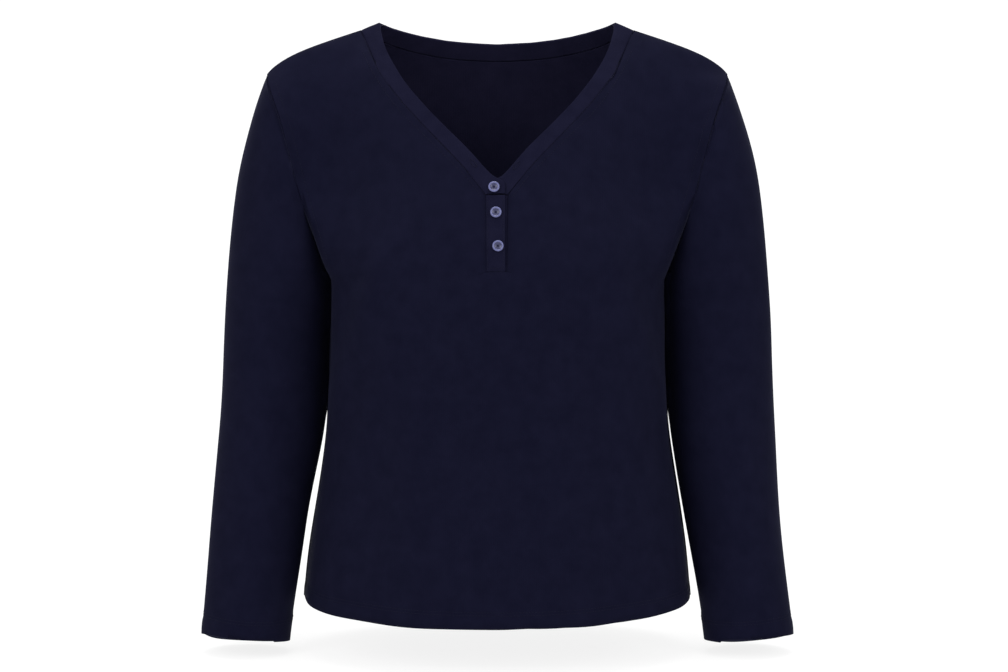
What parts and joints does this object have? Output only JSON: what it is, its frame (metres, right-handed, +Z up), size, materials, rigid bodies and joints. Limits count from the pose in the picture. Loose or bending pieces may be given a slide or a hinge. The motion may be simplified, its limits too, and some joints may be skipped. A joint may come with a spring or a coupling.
{
  "type": "pyjama top",
  "caption": "Long-sleeved henley pyjama top of navy brushed knit with a V neckband and buttoned placket, hollow as worn.",
  "frame": {"origin": "midway between the two points where the shoulder seams meet the neck, where the wearer's shoulders hold the top", "axes": "+Z up, front of the garment faces -Y, wearer's left sleeve on +X"},
  "size_m": [0.6198, 0.2879, 0.6455],
  "materials": {
    "navy_knit": "brushed",
    "navy_neckband": "brushed",
    "pearly_button": "glossy"
  },
  "bodies": {
    "root": {"front": "navy_knit", "back": "navy_knit", "sleeve_left": "navy_knit", "sleeve_right": "navy_knit", "neckband": "navy_neckband", "placket_top": "navy_neckband", "placket_under": "navy_neckband", "button_1": "pearly_button", "button_2": "pearly_button", "button_3": "pearly_button"}
  },
  "joints": []
}
